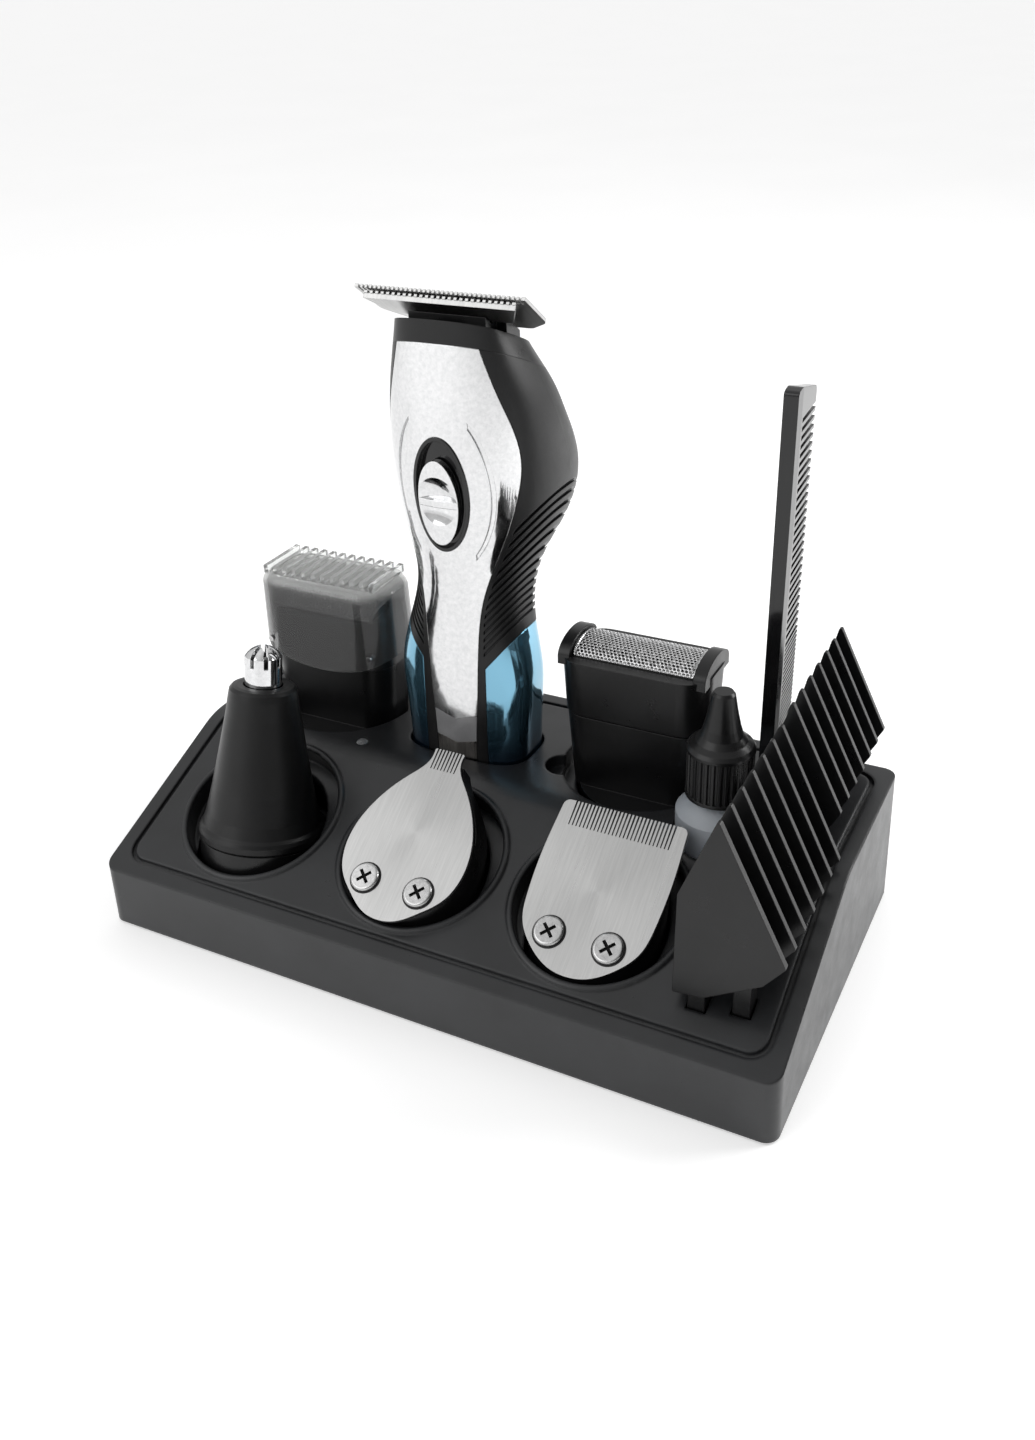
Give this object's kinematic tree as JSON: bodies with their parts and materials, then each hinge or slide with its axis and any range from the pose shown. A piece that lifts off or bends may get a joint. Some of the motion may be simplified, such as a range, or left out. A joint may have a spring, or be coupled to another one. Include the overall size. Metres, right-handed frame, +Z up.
{
  "type": "beard trimmer",
  "caption": "Cordless beard trimmer docked upright in a charging stand with its interchangeable heads, guide combs, barber comb and oil bottle.",
  "frame": {"origin": "on the resting surface, under the middle of the charging stand", "axes": "+X to the right along the stand, -Y towards its front, +Z up"},
  "size_m": [0.19, 0.1115, 0.1624],
  "materials": {
    "stand_plastic": "satin moulded",
    "rubber": "matte",
    "zinc_screw": "plated",
    "lens": "clear",
    "board": "solder mask",
    "contact_brass": "plated",
    "inlet_plastic": "moulded",
    "soft_black": "soft touch",
    "black_plastic": "fine matte",
    "gloss_black": "gloss",
    "chrome": "mirror",
    "tinted_panel": "metallic tint under clear gloss",
    "smoke_window": "smoke gloss",
    "brushed_trim": "brushed dark",
    "frame_plastic": "moulded",
    "motor_steel": "plated can",
    "battery_wrap": "shrink sleeve",
    "blade_steel": "fine satin brushed",
    "screw_steel": "satin",
    "foil_steel": "perforated foil",
    "clear_cover": "smoky clear",
    "bottle_plastic": "frosted"
  },
  "bodies": {
    "stand": {"stand_top_shell": "stand_plastic", "stand_bottom_plate": "stand_plastic", "rubber_feet": "rubber", "stand_bottom_screws": "zinc_screw", "charge_indicator_lens": "lens", "charging_board": "board", "charging_pins": "contact_brass", "dc_inlet": "inlet_plastic"},
    "handset": {"rear_housing": "soft_black", "front_trim_plate": "chrome", "status_window": "smoke_window", "lower_trim": "brushed_trim", "left_side_window": "tinted_panel", "right_side_window": "tinted_panel", "switch_bezel": "gloss_black", "top_collar": "black_plastic", "bottom_end_cap": "black_plastic", "charging_contact_plates": "contact_brass", "inner_frame": "frame_plastic", "battery_cell": "battery_wrap", "motor": "motor_steel", "circuit_board": "board", "switch_contact_block": "frame_plastic", "housing_screws": "zinc_screw"},
    "switch_button": {"slide_switch_button": "chrome"},
    "motor_shaft": {"motor_shaft_cam": "motor_steel"},
    "t_head": {"t_fixed_blade": "blade_steel", "t_head_housing": "black_plastic", "t_blade_screws": "screw_steel"},
    "t_cutter": {"t_moving_blade": "blade_steel"},
    "nose_head": {"nose_base_ring": "black_plastic", "nose_head_housing": "soft_black", "nose_guard_tube": "chrome"},
    "nose_rotor": {"nose_cutter": "blade_steel"},
    "narrow_head": {"narrow_head_housing": "black_plastic", "narrow_fixed_blade": "blade_steel", "narrow_blade_screws": "screw_steel"},
    "narrow_cutter": {"narrow_moving_blade": "blade_steel"},
    "wide_head": {"wide_head_housing": "black_plastic", "wide_fixed_blade": "blade_steel", "wide_blade_screws": "screw_steel"},
    "wide_cutter": {"wide_moving_blade": "blade_steel"},
    "foil_head": {"foil_head_base": "black_plastic", "foil_head_housing": "black_plastic", "shaver_foil": "foil_steel"},
    "foil_cutter": {"foil_head_cutter": "blade_steel"},
    "covered_head": {"covered_head_base": "black_plastic", "covered_head_housing": "black_plastic", "covered_head_foil": "foil_steel"},
    "covered_cutter": {"covered_head_cutter": "blade_steel"},
    "head_cover": {"shaver_cover": "clear_cover", "cover_latch_pins": "screw_steel"},
    "oil_bottle": {"oil_bottle_body": "bottle_plastic", "oil_dropper_insert": "bottle_plastic"},
    "oil_cap": {"oil_bottle_cap": "black_plastic"},
    "comb": {"barber_comb": "gloss_black"},
    "front_guide": {"guide_comb_front": "black_plastic"},
    "rear_guide": {"guide_comb_rear": "black_plastic"}
  },
  "joints": [
    {"name": "handset_lift", "type": "slide", "parent": "stand", "child": "handset", "axis": [0, 0, 1], "range_m": [0, 0.05]},
    {"name": "t_head_pull", "type": "slide", "parent": "handset", "child": "t_head", "axis": [0, 0, 1], "range_m": [0, 0.02]},
    {"name": "t_blade_stroke", "type": "slide", "parent": "t_head", "child": "t_cutter", "axis": [1, 0, 0], "range_m": [-0.0008, 0.0008]},
    {"name": "motor_spin", "type": "hinge", "parent": "handset", "child": "motor_shaft", "pos_m": [-0.0162, 0.0208, 0.12], "axis": [0, 0, 1], "continuous": true},
    {"name": "switch_slide", "type": "slide", "parent": "handset", "child": "switch_button", "axis": [0, 0, 1], "range_m": [0, 0.0036]},
    {"name": "nose_head_lift", "type": "slide", "parent": "stand", "child": "nose_head", "axis": [0, 0.225, 0.9744], "range_m": [0, 0.03]},
    {"name": "nose_cutter_spin", "type": "hinge", "parent": "nose_head", "child": "nose_rotor", "pos_m": [-0.06, -0.0226, 0.02946], "axis": [0, 0.225, 0.9744], "continuous": true},
    {"name": "narrow_head_lift", "type": "slide", "parent": "stand", "child": "narrow_head", "axis": [0, 0.225, 0.9744], "range_m": [0, 0.03]},
    {"name": "narrow_blade_stroke", "type": "slide", "parent": "narrow_head", "child": "narrow_cutter", "axis": [1, 0, 0], "range_m": [-0.0008, 0.0008]},
    {"name": "wide_head_lift", "type": "slide", "parent": "stand", "child": "wide_head", "axis": [0, 0.225, 0.9744], "range_m": [0, 0.03]},
    {"name": "wide_blade_stroke", "type": "slide", "parent": "wide_head", "child": "wide_cutter", "axis": [1, 0, 0], "range_m": [-0.0008, 0.0008]},
    {"name": "foil_head_lift", "type": "slide", "parent": "stand", "child": "foil_head", "axis": [0, 0, 1], "range_m": [0, 0.035]},
    {"name": "foil_blade_stroke", "type": "slide", "parent": "foil_head", "child": "foil_cutter", "axis": [1, 0, 0], "range_m": [-0.0008, 0.0008]},
    {"name": "covered_head_lift", "type": "slide", "parent": "stand", "child": "covered_head", "axis": [0, 0, 1], "range_m": [0, 0.035]},
    {"name": "covered_blade_stroke", "type": "slide", "parent": "covered_head", "child": "covered_cutter", "axis": [1, 0, 0], "range_m": [-0.0008, 0.0008]},
    {"name": "cover_pull", "type": "slide", "parent": "covered_head", "child": "head_cover", "axis": [0, 0, 1], "range_m": [0, 0.03]},
    {"name": "oil_bottle_lift", "type": "slide", "parent": "stand", "child": "oil_bottle", "axis": [0, 0, 1], "range_m": [0, 0.062]},
    {"name": "oil_cap_twist", "type": "hinge", "parent": "oil_bottle", "child": "oil_cap", "pos_m": [0.0596, 0.006, 0.055], "axis": [0, 0, 1], "range_deg": [0, 450]},
    {"name": "barber_comb_lift", "type": "slide", "parent": "stand", "child": "comb", "axis": [0, 0, 1], "range_m": [0, 0.04]},
    {"name": "front_guide_lift", "type": "slide", "parent": "stand", "child": "front_guide", "axis": [0, 0, 1], "range_m": [0, 0.02]},
    {"name": "rear_guide_lift", "type": "slide", "parent": "stand", "child": "rear_guide", "axis": [0, 0, 1], "range_m": [0, 0.02]}
  ]
}
